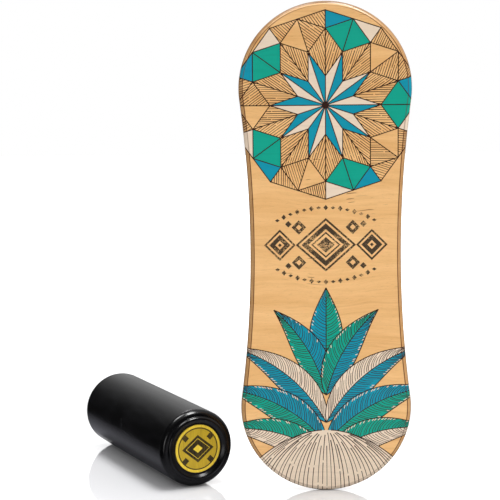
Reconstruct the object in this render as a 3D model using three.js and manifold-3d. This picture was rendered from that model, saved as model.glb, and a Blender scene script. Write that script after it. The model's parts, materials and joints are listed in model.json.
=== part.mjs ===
// Rola bola: a waisted plywood deck stood upright on its tail, and beside it the capped roller it rides on.
// Millimetres, +Z up, +Y away from the printed face. The origin is under the middle of the set, on the floor.
import * as THREE from "three";
import { mergeVertices } from "three/addons/utils/BufferGeometryUtils.js";
import Module from "manifold-3d";

// Deck: two round ends joined by one long hollow curve along each side
const DECK_LENGTH = 752;
const DECK_WIDTH = 262;
const WAIST_INSET = 16; // how far each side is drawn in at mid length
const DECK_THICKNESS = 15;
const EDGE_ROUND = 5; // rounding of the edge of each face

// Stops: hardwood bars across the underside
const STOP_LENGTH = 190;
const STOP_WIDTH = 28;
const STOP_HEIGHT = 18;
const STOP_ROUND = 5; // rounding of the two edges that meet the roller
const STOP_END_EASE = 1.5;
const STOP_FROM_END = 62; // from the deck's end to the middle of the bar

// Wood screws that hold the stops from below
const SCREW_COVER = 5.5; // wood between the point and the printed face
const SCREW_SHANK = 4.2;
const SCREW_HEAD = 8.4;
const SCREW_HEAD_HEIGHT = 3;
const SCREW_RIM = 0.5; // straight edge of the head above its cone
const SCREW_POINT = 6;
const SCREW_SUNK = 0.5; // head below the face of the stop
const SCREW_FROM_BAR_END = 22;
const RECESS_SPAN = 4.6;
const RECESS_SLOT = 1.1;
const RECESS_DEPTH = 1.8;

// Roller tube
const ROLLER_DIAMETER = 122;
const TUBE_LENGTH = 317;
const TUBE_WALL = 6;

// Moulded end caps: a rounded shoulder, a groove, a raised ring, and a dish that holds the label
const SHOULDER_ROUND = 9;
const CAP_LIP = 1.5; // straight rim between the seam and the shoulder
const GROOVE_FLAT = 1.3;
const RING_ROUND = 3.5;
const RING_STAND = 3.5; // height of the ring above the shoulder
const DISH_DEPTH = 3.2; // from the top of the ring
const DISH_SLOPE = THREE.MathUtils.degToRad(35);
const CAP_WALL = 3;
const SPIGOT_LENGTH = 24;
const SPIGOT_CHAMFER = 1;
const LABEL_MARGIN = 2.8; // bare floor between the label and the slope of the dish
const LABEL_THICKNESS = 0.4;

// Clearance between pieces that fit, and the overrun of cuts
const FIT_GAP = 0.3;
const OVERRUN = 1;

// Where the roller lies beside the standing deck
const ROLLER_TURN = THREE.MathUtils.degToRad(25.7);
const ROLLER_ASIDE = 17.2; // free space between the deck's widest line and the roller
const ROLLER_SETBACK = 6.2; // from the printed face back to the front of the roller

const SCREWS_PER_STOP = 4;
const END_STEPS = 29; // odd, so that one flat facet meets the floor
const SIDE_STEPS = 12;
const ROUND_STEPS = 3;
const EASE_STEPS = 2;
const ARC_STEPS = 5;
const ROLLER_SIDES = 48;
const SCREW_SIDES = 12;

const wasm = await Module();
wasm.setup();

const finish = {
  deck: { color: 0xdeb072, roughness: 0.42, metalness: 0 },
  stop: { color: 0xb98a55, roughness: 0.5, metalness: 0 },
  screw: { color: 0xb9b5ac, roughness: 0.35, metalness: 0.9 },
  tube: { color: 0x1b1b1d, roughness: 0.38, metalness: 0 },
  cap: { color: 0x0b0b0d, roughness: 0.16, metalness: 0 },
  label: { color: 0xc9a52e, roughness: 0.3, metalness: 0 },
};

function named(name, geometry, look) {
  const mesh = new THREE.Mesh(geometry, new THREE.MeshStandardMaterial(finish[look]));
  mesh.name = name;
  return mesh;
}

function solidOf(geometry) {
  const bare = geometry.clone();
  bare.deleteAttribute("normal");
  bare.deleteAttribute("uv");
  const merged = mergeVertices(bare);
  return new wasm.Manifold(
    new wasm.Mesh({
      numProp: 3,
      vertProperties: merged.attributes.position.array,
      triVerts: new Uint32Array(merged.index.array),
    }),
  );
}

function geometryOf(solid) {
  const { vertProperties, triVerts } = solid.getMesh();
  const geometry = new THREE.BufferGeometry();
  geometry.setAttribute("position", new THREE.BufferAttribute(vertProperties, 3));
  geometry.setIndex(new THREE.BufferAttribute(triVerts, 1));
  geometry.computeVertexNormals();
  return geometry;
}

// Points of an arc, both ends included
function arc(x, y, radius, from, to, steps) {
  return Array.from({ length: steps + 1 }, (_, i) => {
    const angle = from + ((to - from) * i) / steps;
    return new THREE.Vector2(x + radius * Math.cos(angle), y + radius * Math.sin(angle));
  });
}

// A solid turned about Y from a profile that starts and ends on the axis, or closes on itself.
// The first facet is half a step round, so a lying roller rests on a facet and not on an edge.
function turned(profile, sides) {
  return new THREE.LatheGeometry(profile, sides, Math.PI / sides);
}

// Deck outline, counter-clockwise from the right-hand end of the nose curve.
// The side curves touch both end circles, which sets their radius.
function deckOutline() {
  const endRadius = DECK_WIDTH / 2;
  const endCentre = DECK_LENGTH / 2 - endRadius;
  const halfWaist = endRadius - WAIST_INSET;
  const sideRadius = (endCentre ** 2 + halfWaist ** 2 - endRadius ** 2) / (2 * WAIST_INSET);
  const sideCentre = halfWaist + sideRadius;
  const turn = Math.atan2(endCentre, sideCentre);
  const nose = arc(0, endCentre, endRadius, -turn, Math.PI + turn, END_STEPS);
  const left = arc(-sideCentre, 0, sideRadius, turn, -turn, SIDE_STEPS);
  const tail = arc(0, -endCentre, endRadius, Math.PI - turn, 2 * Math.PI + turn, END_STEPS);
  const right = arc(sideCentre, 0, sideRadius, Math.PI + turn, Math.PI - turn, SIDE_STEPS);
  return [nose, left, tail, right].flatMap((points) => points.slice(0, -1));
}

// The board lies on its underside here: X across, Y towards the nose, Z up out of the printed face
const stopCentre = DECK_LENGTH / 2 - STOP_FROM_END;
const screwSpan = STOP_LENGTH - 2 * SCREW_FROM_BAR_END;
const screwPlaces = Array.from(
  { length: SCREWS_PER_STOP },
  (_, i) => -screwSpan / 2 + (screwSpan * i) / (SCREWS_PER_STOP - 1),
);
const stopPlaces = { nose_stop: stopCentre, tail_stop: -stopCentre };
const screwLength = DECK_THICKNESS + STOP_HEIGHT - SCREW_SUNK - SCREW_COVER;

// A screw's outline grown by a gap, from the middle of its head to its point, along +Y
function screwProfile(gap) {
  const head = SCREW_HEAD / 2 + gap;
  const shank = SCREW_SHANK / 2 + gap;
  return [
    new THREE.Vector2(0, 0),
    new THREE.Vector2(head, 0),
    new THREE.Vector2(head, SCREW_RIM + gap),
    new THREE.Vector2(shank, SCREW_HEAD_HEIGHT + gap),
    new THREE.Vector2(shank, screwLength - SCREW_POINT + gap),
    new THREE.Vector2(0, screwLength + 2 * gap),
  ];
}

function screwGeometry() {
  const body = solidOf(turned(screwProfile(0), SCREW_SIDES));
  const slot = new THREE.BoxGeometry(RECESS_SPAN, 2 * RECESS_DEPTH, RECESS_SLOT);
  const cross = solidOf(slot).add(solidOf(slot.clone().rotateY(Math.PI / 2)));
  return geometryOf(body.subtract(cross));
}

// The hole for one screw, open to the face of the stop
function screwHole(x, y) {
  const profile = screwProfile(FIT_GAP);
  profile[0].y = -SCREW_SUNK - OVERRUN;
  profile[1].y = -SCREW_SUNK - OVERRUN;
  const hole = turned(profile, SCREW_SIDES).rotateX(Math.PI / 2);
  return solidOf(hole.translate(x, y, SCREW_SUNK - STOP_HEIGHT));
}

function withScrewHoles(geometry, rows) {
  let solid = solidOf(geometry);
  for (const y of rows) {
    for (const x of screwPlaces) solid = solid.subtract(screwHole(x, y));
  }
  return geometryOf(solid);
}

function deckGeometry() {
  const round = Math.min(EDGE_ROUND, DECK_THICKNESS / 2);
  const board = new THREE.ExtrudeGeometry(new THREE.Shape(deckOutline()), {
    depth: DECK_THICKNESS - 2 * round,
    bevelThickness: round,
    bevelSize: round,
    bevelOffset: -round,
    bevelSegments: ROUND_STEPS,
  });
  return withScrewHoles(board.translate(0, 0, round), Object.values(stopPlaces));
}

// A bar with its length along X, its flat back against the underside and its two free edges rounded
function stopGeometry(y) {
  const half = STOP_WIDTH / 2;
  const section = new THREE.Shape([
    new THREE.Vector2(half, 0),
    new THREE.Vector2(-half, 0),
    ...arc(STOP_ROUND - half, STOP_ROUND - STOP_HEIGHT, STOP_ROUND, Math.PI, 1.5 * Math.PI, ARC_STEPS),
    ...arc(half - STOP_ROUND, STOP_ROUND - STOP_HEIGHT, STOP_ROUND, 1.5 * Math.PI, 2 * Math.PI, ARC_STEPS),
  ]);
  const bar = new THREE.ExtrudeGeometry(section, {
    depth: STOP_LENGTH - 2 * STOP_END_EASE,
    bevelThickness: STOP_END_EASE,
    bevelSize: STOP_END_EASE,
    bevelOffset: -STOP_END_EASE,
    bevelSegments: EASE_STEPS,
  });
  bar.translate(0, 0, STOP_END_EASE - STOP_LENGTH / 2);
  bar.rotateX(Math.PI / 2).rotateZ(Math.PI / 2);
  return withScrewHoles(bar.translate(0, y, 0), [y]);
}

function makeBoard() {
  const board = new THREE.Group();
  board.add(named("deck", deckGeometry(), "deck"));
  for (const [name, y] of Object.entries(stopPlaces)) {
    board.add(named(name, stopGeometry(y), "stop"));
    screwPlaces.forEach((x, i) => {
      const screw = named(`${name}_screw_${i + 1}`, screwGeometry(), "screw");
      screw.rotation.x = Math.PI / 2;
      screw.position.set(x, y, SCREW_SUNK - STOP_HEIGHT);
      board.add(screw);
    });
  }
  return board;
}

// The roller is made along Y, with its near end at Y = 0
const rollerRadius = ROLLER_DIAMETER / 2;
const tubeBore = rollerRadius - TUBE_WALL;
const shoulderTop = CAP_LIP + SHOULDER_ROUND;
const ringTop = shoulderTop + RING_STAND;
const dishFloor = ringTop - DISH_DEPTH;
const ringLift = Math.asin(1 - RING_STAND / RING_ROUND); // where the ring rises out of the groove
const ringCentre = rollerRadius - SHOULDER_ROUND - GROOVE_FLAT - RING_ROUND * Math.cos(ringLift);
const slopeTop = RING_ROUND * (1 - Math.cos(DISH_SLOPE)); // depth at which the ring turns into the slope
const slopeRun = (DISH_DEPTH - slopeTop) / Math.tan(DISH_SLOPE);
const dishRadius = ringCentre - RING_ROUND * Math.sin(DISH_SLOPE) - slopeRun;
const labelRadius = dishRadius - LABEL_MARGIN;

function tubeGeometry() {
  const wall = [
    new THREE.Vector2(tubeBore, 0),
    new THREE.Vector2(rollerRadius, 0),
    new THREE.Vector2(rollerRadius, TUBE_LENGTH),
    new THREE.Vector2(tubeBore, TUBE_LENGTH),
    new THREE.Vector2(tubeBore, 0),
  ];
  return turned(wall, ROLLER_SIDES);
}

// A cap that looks along +Y, with the tube's end at Y = 0 and its spigot below that
function capGeometry() {
  const quarter = Math.PI / 2;
  const spigot = tubeBore - FIT_GAP;
  const hollow = spigot - CAP_WALL;
  const ceiling = dishFloor - CAP_WALL;
  const profile = [
    new THREE.Vector2(0, ceiling),
    new THREE.Vector2(hollow, ceiling),
    new THREE.Vector2(hollow, -SPIGOT_LENGTH),
    new THREE.Vector2(spigot - SPIGOT_CHAMFER, -SPIGOT_LENGTH),
    new THREE.Vector2(spigot, SPIGOT_CHAMFER - SPIGOT_LENGTH),
    new THREE.Vector2(spigot, FIT_GAP),
    new THREE.Vector2(rollerRadius, FIT_GAP),
    ...arc(rollerRadius - SHOULDER_ROUND, CAP_LIP, SHOULDER_ROUND, 0, quarter, ARC_STEPS),
    ...arc(ringCentre, ringTop - RING_ROUND, RING_ROUND, ringLift, quarter + DISH_SLOPE, ARC_STEPS),
    new THREE.Vector2(dishRadius, dishFloor),
    new THREE.Vector2(0, dishFloor),
  ];
  return turned(profile, ROLLER_SIDES);
}

// A thin disc in the dish, looking the same way as its cap
function labelGeometry() {
  const disc = new THREE.CylinderGeometry(labelRadius, labelRadius, LABEL_THICKNESS, ROLLER_SIDES);
  return disc.translate(0, dishFloor + FIT_GAP + LABEL_THICKNESS / 2, 0);
}

function makeRoller() {
  const roller = new THREE.Group();
  roller.add(named("roller_tube", tubeGeometry(), "tube"));
  for (const end of ["near", "far"]) {
    const capped = new THREE.Group();
    capped.add(named(`${end}_end_cap`, capGeometry(), "cap"));
    capped.add(named(`${end}_label`, labelGeometry(), "label"));
    if (end === "near") capped.rotation.z = Math.PI;
    else capped.position.y = TUBE_LENGTH;
    roller.add(capped);
  }
  return roller;
}

function boxOf(object) {
  object.updateMatrixWorld(true);
  return new THREE.Box3().setFromObject(object, true);
}

// The board is stood on its tail with the printed face towards -Y, in the plane Y = 0
const board = makeBoard();
board.rotation.x = Math.PI / 2;
board.position.y = DECK_THICKNESS;
board.position.z -= boxOf(board).min.z;

// The roller lies on the floor to the left of the board, its near end a little behind the printed face
const roller = makeRoller();
roller.rotation.z = ROLLER_TURN;
const lying = boxOf(roller);
roller.position.set(
  -DECK_WIDTH / 2 - ROLLER_ASIDE - lying.max.x,
  ROLLER_SETBACK - lying.min.y,
  -lying.min.z,
);

const rolaBola = new THREE.Group();
rolaBola.add(board, roller);
const whole = boxOf(rolaBola);
const middle = whole.getCenter(new THREE.Vector3());
rolaBola.position.set(-middle.x, -middle.y, -whole.min.z);

export default rolaBola;
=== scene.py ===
from functools import partialmethod
import json
from math import acos, asin, atan2, copysign, cos, pi, radians, sin, tan
import random

import bmesh
import bpy
from mathutils import Matrix, Vector
from mathutils.geometry import delaunay_2d_cdt

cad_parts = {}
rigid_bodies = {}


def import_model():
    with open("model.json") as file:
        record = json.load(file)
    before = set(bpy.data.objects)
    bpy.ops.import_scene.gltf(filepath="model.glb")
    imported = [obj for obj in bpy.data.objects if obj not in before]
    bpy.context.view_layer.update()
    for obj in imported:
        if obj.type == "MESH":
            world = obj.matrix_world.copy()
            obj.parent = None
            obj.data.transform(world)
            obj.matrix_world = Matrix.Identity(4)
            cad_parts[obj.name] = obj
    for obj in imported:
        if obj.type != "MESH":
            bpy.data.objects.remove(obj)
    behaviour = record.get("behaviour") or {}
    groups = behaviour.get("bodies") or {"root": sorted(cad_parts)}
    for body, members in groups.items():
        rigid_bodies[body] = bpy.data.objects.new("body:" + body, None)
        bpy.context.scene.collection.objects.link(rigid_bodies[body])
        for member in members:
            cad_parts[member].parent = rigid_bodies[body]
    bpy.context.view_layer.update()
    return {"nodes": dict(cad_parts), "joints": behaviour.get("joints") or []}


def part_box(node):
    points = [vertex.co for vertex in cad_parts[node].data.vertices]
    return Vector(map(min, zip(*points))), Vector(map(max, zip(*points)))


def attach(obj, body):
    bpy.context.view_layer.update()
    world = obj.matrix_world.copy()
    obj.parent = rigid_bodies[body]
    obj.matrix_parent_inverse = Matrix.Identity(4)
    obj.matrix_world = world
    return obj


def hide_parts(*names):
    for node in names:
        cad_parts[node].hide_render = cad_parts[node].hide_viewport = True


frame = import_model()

# Deck: eleven birch plies, glued flat and sawn to a waisted outline with two round ends. Its edge is a full
# bullnose, whose cutter's radius is a little over half the thickness, so a fine crease runs round each face.
# Flat inks are printed on the face veneer, as far round the edge as they reach, under one satin lacquer.

MM = 0.001
deck_low, deck_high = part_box("deck")
deck_middle = (deck_low + deck_high) / 2
DECK_THICKNESS = (deck_high.y - deck_low.y) / MM
DECK_HALF_LENGTH = (deck_high.z - deck_low.z) / MM / 2
END_RADIUS = (deck_high.x - deck_low.x) / MM / 2
END_CENTRE = DECK_HALF_LENGTH - END_RADIUS
WAIST_INSET = 16
HALF_WAIST = END_RADIUS - WAIST_INSET
SIDE_RADIUS = (END_CENTRE**2 + HALF_WAIST**2 - END_RADIUS**2) / (2 * WAIST_INSET)
SIDE_CENTRE = HALF_WAIST + SIDE_RADIUS
BULLNOSE = 7.75
CREASE_TILT = acos(DECK_THICKNESS / 2 / BULLNOSE)
EDGE_WIDTH = BULLNOSE * (1 - sin(CREASE_TILT))
CREASE_WIDTH = 0.4
CREASE_MARGIN = 1.2
EDGE_STEPS = 10
END_STEPS = 110
SIDE_STEPS = 48


def arc(across, up, radius, start, end, steps):
    """Points of an arc, both ends included, its angles in radians."""
    angles = [start + (end - start) * i / steps for i in range(steps + 1)]
    return [(across + radius * cos(a), up + radius * sin(a)) for a in angles]


def outline(inset):
    """The deck's outline drawn in by a distance, anticlockwise as the printed face is seen."""
    turn = atan2(END_CENTRE, SIDE_CENTRE)
    arcs = [
        (0, END_CENTRE, END_RADIUS - inset, -turn, pi + turn, END_STEPS),
        (-SIDE_CENTRE, 0, SIDE_RADIUS + inset, turn, -turn, SIDE_STEPS),
        (0, -END_CENTRE, END_RADIUS - inset, pi - turn, 2 * pi + turn, END_STEPS),
        (SIDE_CENTRE, 0, SIDE_RADIUS + inset, pi + turn, pi - turn, SIDE_STEPS),
    ]
    return [point for row in arcs for point in arc(*row)[:-1]]


def to_edge(across, up):
    """How far a point of the face lies inside the outline, and the way out to it."""
    a, b = abs(across), abs(up)
    if b > END_CENTRE * (1 - a / SIDE_CENTRE):
        way = Vector((a, b - END_CENTRE))
        inset = END_RADIUS - way.length
    else:
        way = Vector((SIDE_CENTRE - a, -b))
        inset = way.length - SIDE_RADIUS
    way.normalize()
    return inset, Vector((copysign(way.x, across * way.x), copysign(1, up) * way.y))


def edge_profile(inset):
    """Depth below the face, and the tilt of the surface, that far inside the outline."""
    if inset > EDGE_WIDTH + CREASE_WIDTH / 4:
        return 0, 0
    tilt = asin(min(1, 1 - inset / BULLNOSE))
    return max(0, DECK_THICKNESS / 2 - BULLNOSE * cos(tilt)), tilt


def srgb(red, green, blue):
    """A colour given as it looks on a screen, 0 to 255, as the light values that a shader takes."""
    shares = [value / 255 for value in (red, green, blue)]
    return tuple(s / 12.92 if s <= 0.04045 else ((s + 0.055) / 1.055) ** 2.4 for s in shares)


FULL, WORN = 1, 0.5
INKS = {
    "bare": (0, 0, 0, 0),
    "teal": (*srgb(0, 162, 138), FULL),
    "blue": (*srgb(0, 146, 170), FULL),
    "cream": (*srgb(234, 213, 189), FULL),
    "line": (*srgb(50, 22, 12), FULL),
    "stamp": (*srgb(40, 36, 32), WORN),
}
OUTLINE_WIDTH = 1.5
HATCH_WIDTH = 1.1
HATCH_PITCH = 3.4
HATCH_FIRST = 0.6
HATCH_LAST = 0.3
HATCH_DRIFT = (0.82, 1.18)
STROKE_LENGTH = (14, 70)
STROKE_WEIGHT = (0.75, 1.2)
STROKE_TAPER = (0.5, 1)
STROKE_GAP = (1.2, 2.6)
SNAP = 1 / 64
CUT_TOLERANCE = 0.0005


class Print:
    """Shapes of ink on a flat face, in millimetres. What is laid later covers what lies under it."""

    def __init__(self, seed):
        self.points, self.shapes, self.inks = [], [], []
        self.dice = random.Random(seed)

    def lay(self, corners, ink):
        """A filled shape. Its corners go either way round, and are snapped so that shared ones meet."""
        corners = [Vector([round(value / SNAP) * SNAP for value in c]) for c in corners]
        around = zip(corners, corners[1:] + corners[:1])
        if sum(a.x * b.y - b.x * a.y for a, b in around) < 0:
            corners.reverse()
        first = len(self.points)
        self.points += corners
        self.shapes.append(list(range(first, len(self.points))))
        self.inks.append(ink)

    def line(self, path, width=OUTLINE_WIDTH, ink="line", end=1.0):
        """A pen line along a path, that narrows to a share of its width at the end."""
        path = [Vector(p) for p in path]
        left, right = [], []
        for i, point in enumerate(path):
            along = path[min(i + 1, len(path) - 1)] - path[max(i - 1, 0)]
            half = width / 2 * (1 + (end - 1) * i / (len(path) - 1))
            side = Vector((-along.y, along.x)).normalized() * half
            left.append(point + side)
            right.append(point - side)
        self.lay(left + right[::-1], ink)

    def facets(self, facets):
        """Straight-sided shapes, each filled or hatched at an angle, with a pen line on every edge."""
        edges = {}
        for corners, ink, hatching in facets:
            self.lay(corners, ink)
            if hatching is not None:
                self.hatch(corners, hatching)
            for edge in zip(corners, corners[1:] + corners[:1]):
                edges[frozenset((round(end.x), round(end.y)) for end in edge)] = edge
        for a, b in edges.values():
            past = (b - a).normalized() * OUTLINE_WIDTH / 2
            self.line([a - past, b + past])

    def hatch(self, corners, angle):
        """Broken pen strokes across a convex shape."""
        along = Vector((cos(angle), sin(angle)))
        across = Vector((-along.y, along.x))
        levels = [c.dot(across) for c in corners]
        level = min(levels) + HATCH_PITCH * HATCH_FIRST
        while level < max(levels) - HATCH_PITCH * HATCH_LAST:
            ends = []
            for a, b in zip(corners, corners[1:] + corners[:1]):
                start, end = a.dot(across) - level, b.dot(across) - level
                if (start < 0) != (end < 0):
                    ends.append(a.lerp(b, start / (start - end)).dot(along))
            place, stop = min(ends), max(ends)
            while place < stop - 1:
                reach = min(stop, place + self.dice.uniform(*STROKE_LENGTH))
                path = [across * level + along * end for end in (place, reach)]
                width = HATCH_WIDTH * self.dice.uniform(*STROKE_WEIGHT)
                self.line(path, width, end=self.dice.uniform(*STROKE_TAPER))
                place = reach + self.dice.uniform(*STROKE_GAP)
            level += HATCH_PITCH * self.dice.uniform(*HATCH_DRIFT)

    def cut(self, loops):
        """The face inside the first loop, cut along all shapes and loops: its points, triangles and inks."""
        points, shapes = list(self.points), list(self.shapes)
        for loop in reversed(loops):
            first = len(points)
            points += [Vector(p) for p in loop]
            shapes.append(list(range(first, len(points))))
        made, _, faces, _, _, sources = delaunay_2d_cdt(points, [], shapes, 0, CUT_TOLERANCE)
        kept, inks = [], []
        for face, source in zip(faces, sources):
            if len(shapes) - 1 in source:
                laid = [s for s in source if s < len(self.inks)]
                kept.append(list(face))
                inks.append(self.inks[max(laid)] if laid else "bare")
        return made, kept, inks


deck_print = Print(seed=7)
dice = deck_print.dice

# The upper print is a rosette: rings of rhombi that open out from one centre. Round a ring, they take these
# fills in turn, each with the ink and the hatching angle of its left half, and then those of its right half.
ROSETTE_CENTRE = Vector((0, 220))
ROSETTE_SIDE = 44
ROSETTE_FOLD = 10
ROSETTE_TURN = pi / 2
ROSETTE_RINGS = {
    1: [("cream", None, "blue", None)],
    2: [("bare", 0.30, "bare", -0.30)],
    3: [("teal", None, "teal", None), ("bare", None, "bare", 0.62)],
    4: [("bare", 0.62, "blue", None), ("cream", None, "bare", 0.2)],
}


def rosette_vector(i):
    angle = ROSETTE_TURN + 2 * pi * i / ROSETTE_FOLD
    return Vector((cos(angle), sin(angle))) * ROSETTE_SIDE


rosette = []
for ring, fills in ROSETTE_RINGS.items():
    for k in range(ROSETTE_FOLD):
        inner = ROSETTE_CENTRE + sum((rosette_vector(k + i) for i in range(1, ring)), Vector((0, 0)))
        first, second = rosette_vector(k), rosette_vector(k + ring)
        outer = inner + first + second
        middle_angle = atan2(*(outer - ROSETTE_CENTRE).yx)
        left_ink, left_hatch, right_ink, right_hatch = fills[k % len(fills)]
        for ink, hatching, side in ((left_ink, left_hatch, second), (right_ink, right_hatch, first)):
            turned_hatch = None if hatching is None else middle_angle + hatching
            rosette.append(([inner, inner + side, outer], ink, turned_hatch))
deck_print.facets(rosette)

# The middle carries a worn stamp: a row of lozenges, each with rings inside it, between two bows of diamonds
STAMP_CENTRE = Vector((0, 8))
STAMP_LOZENGES = ((0, 46, 41), (-70, 24, 24), (70, 24, 24))
STAMP_STEPS = ((0, "stamp"), (4, "bare"), (8, "stamp"), (17, "bare"), (21, "stamp"), (24, "bare"),
               (29, "stamp"))
STAMP_SMALLEST = 0.1
STAMP_DIAMONDS = ((41, 27, 11, "stamp"), (41, 27, 4.5, "bare"), (57, 32, 5, "stamp"))
BOW_RADIUS = 150
BOW_SHIFT = 93
BOW_DIAMONDS = 7
BOW_PITCH = 4.2
BOW_HALF_ACROSS = 3.6
BOW_HALF_UP = (4.2, 2.4)


def lozenge(centre, half_across, half_up):
    """The four corners of a lozenge, from the right-hand one round."""
    ways = ((half_across, 0), (0, half_up), (-half_across, 0), (0, -half_up))
    return [centre + Vector(way) for way in ways]


def nest(art, centre, half_across, half_up, steps, smallest):
    """Lozenges one inside another, each drawn in by a step, down to the smallest share of the first."""
    for drawn_in, ink in steps:
        share = 1 - drawn_in / half_up
        if share > smallest:
            art.lay(lozenge(centre, half_across * share, half_up * share), ink)


for shift, *halves in STAMP_LOZENGES:
    nest(deck_print, STAMP_CENTRE + Vector((shift, 0)), *halves, STAMP_STEPS, STAMP_SMALLEST)
for across in (-1, 1):
    for up in (-1, 1):
        for shift, rise, half, ink in STAMP_DIAMONDS:
            spot = STAMP_CENTRE + Vector((across * shift, up * rise))
            deck_print.lay(lozenge(spot, half, half), ink)
for up in (-1, 1):
    for i in range(-BOW_DIAMONDS, BOW_DIAMONDS + 1):
        angle = radians(90 * up + BOW_PITCH * i)
        way = Vector((cos(angle), sin(angle)))
        spot = STAMP_CENTRE + way * BOW_RADIUS - Vector((0, up * BOW_SHIFT))
        deck_print.lay(lozenge(spot, BOW_HALF_ACROSS, BOW_HALF_UP[i % 2]), "stamp")

# The lower print is a plant: ribbed leaves in pairs, below one that stands upright, grow from a cream bulb
LEAF_STEPS = 20
LEAF_FULLNESS = 0.78
LEAF_RIBBED = 0.9
RIB_PITCH = 4.6
RIB_FIRST = 0.04
RIB_SPREAD = 0.86
RIB_JITTER = 0.2
RIB_START = (0, 0.12)
RIB_STOPS = (0.97, 0.97, 0.97, 0.7)
RIB_STEPS = 4
RIB_LEAD = 0.13
RIB_CURL = 1.5
RIB_WEIGHT = (0.8, 1.1)
RIB_TAPER = 0.7
TICK_CHANCE = 0.7
TICK_LEAD = 0.4
TICK_SPAN = (0.84, 0.95)
TICK_WIDTH = 1.3
TICK_TAPER = 0.8


def leaf(base, tip, width, bend, left_ink, right_ink):
    """A leaf in two inks, from a height on the stem, whose midrib bends aside by a share of its length."""
    base, tip = Vector((0, base)), Vector(tip)
    chord = tip - base
    knee = (base + tip) / 2 + Vector((-chord.y, chord.x)) * bend

    def at(share, out):
        """A point that share of the way up the leaf, and out from the midrib by a share of the half width."""
        share = min(1, max(0, share))
        middle = base.lerp(knee, share).lerp(knee.lerp(tip, share), share)
        along = (knee - base).lerp(tip - knee, share).normalized()
        half = width / 2 * sin(pi * share**LEAF_FULLNESS)
        return middle + Vector((-along.y, along.x)) * half * out

    def rib(share, way, outs):
        """Points of a rib that leaves the midrib at a share and leads up the leaf on its way out."""
        return [at(share + RIB_LEAD * out**RIB_CURL, way * out) for out in outs]

    stations = [i / LEAF_STEPS for i in range(LEAF_STEPS + 1)]
    midrib = [at(s, 0) for s in stations]
    for way, ink in ((1, left_ink), (-1, right_ink)):
        margin = [at(s, way) for s in stations]
        deck_print.lay(midrib + margin[-2:0:-1], ink)
        count = int(chord.length * LEAF_RIBBED / RIB_PITCH)
        for i in range(count):
            share = RIB_FIRST + RIB_SPREAD * (i + dice.uniform(-RIB_JITTER, RIB_JITTER)) / count
            start, stop = dice.uniform(*RIB_START), dice.choice(RIB_STOPS)
            path = rib(share, way, [start + (stop - start) * j / RIB_STEPS for j in range(RIB_STEPS + 1)])
            deck_print.line(path, HATCH_WIDTH * dice.uniform(*RIB_WEIGHT), end=RIB_TAPER)
            if dice.random() < TICK_CHANCE:
                tick = rib(share + TICK_LEAD / count, way, TICK_SPAN)
                deck_print.line(tick, TICK_WIDTH, "cream", end=TICK_TAPER)
        deck_print.line(margin)
    deck_print.line(midrib)


LEAVES = [
    (-180, (0, -58), 50, 0, "blue", "teal"),
    (-225, (-80, -92), 46, -0.16, "teal", "blue"),
    (-225, (80, -92), 46, 0.16, "teal", "blue"),
    (-268, (-140, -150), 48, -0.2, "blue", "cream"),
    (-268, (140, -150), 48, 0.2, "cream", "blue"),
    (-300, (-158, -214), 50, -0.2, "teal", "blue"),
    (-300, (158, -214), 50, 0.2, "blue", "teal"),
    (-322, (-158, -278), 46, -0.2, "cream", "teal"),
    (-322, (158, -278), 46, 0.2, "teal", "cream"),
]
for row in LEAVES:
    leaf(*row)

BULB_TOP = -280
BULB_HEIGHT = 120
BULB_NECK = 7
BULB_BODY = 124
BULB_SWELL = 0.8
BULB_ROUND = 0.6
BULB_STEPS = 36
BULB_CROWD = 1.5
BULB_LINES = 18
BULB_JITTER = 0.2
BULB_START = ((0.12, 0.24), (0.03, 0.08))
BULB_LAST_START = 0.9
BULB_STROKE = (0.25, 0.8)
BULB_WEIGHT = (1.1, 1.5)
BULB_TAPER = 0.7
BULB_GAP = 0.03


def bulb(across, down):
    """A point of the bulb: across it from -1 to 1, and down it from 0 at the neck to 1."""
    half = BULB_NECK + BULB_BODY * sin(pi / 2 * min(1, down / BULB_SWELL)) ** BULB_ROUND
    return Vector((half * across, BULB_TOP - BULB_HEIGHT * down))


def down_the_bulb(across, start, stop):
    """A line of the bulb from one share of its height to another, closer set where it turns."""
    shares = [(i / BULB_STEPS) ** BULB_CROWD for i in range(BULB_STEPS + 1)]
    return [bulb(across, start + (stop - start) * share) for share in shares]


deck_print.lay(down_the_bulb(-1, 0, 1) + down_the_bulb(1, 0, 1)[::-1], "cream")
for i in range(1 - BULB_LINES, BULB_LINES):
    across = (i + dice.uniform(-BULB_JITTER, BULB_JITTER)) / BULB_LINES
    place = dice.uniform(*BULB_START[i % 2])
    while place < BULB_LAST_START:
        stop = min(1, place + dice.uniform(*BULB_STROKE))
        width = HATCH_WIDTH * dice.uniform(*BULB_WEIGHT)
        deck_print.line(down_the_bulb(across, place, stop), width, end=BULB_TAPER)
        place = stop + BULB_GAP
for side in (-1, 1):
    deck_print.line(down_the_bulb(side, 0, 1))


def printed_mesh(name, points, faces, inks):
    """A mesh with each face's ink as the colour of its corners."""
    mesh = bpy.data.meshes.new(name)
    mesh.from_pydata(points, [], faces)
    paint = mesh.color_attributes.new("ink", "FLOAT_COLOR", "CORNER")
    paint.data.foreach_set("color", [c for face, ink in zip(faces, inks) for _ in face for c in INKS[ink]])
    return mesh


def band(one, other):
    """The faces between two rings of as many corners."""
    return list(zip(one, one[1:] + one[:1], other[1:] + other[:1], other))


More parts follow.
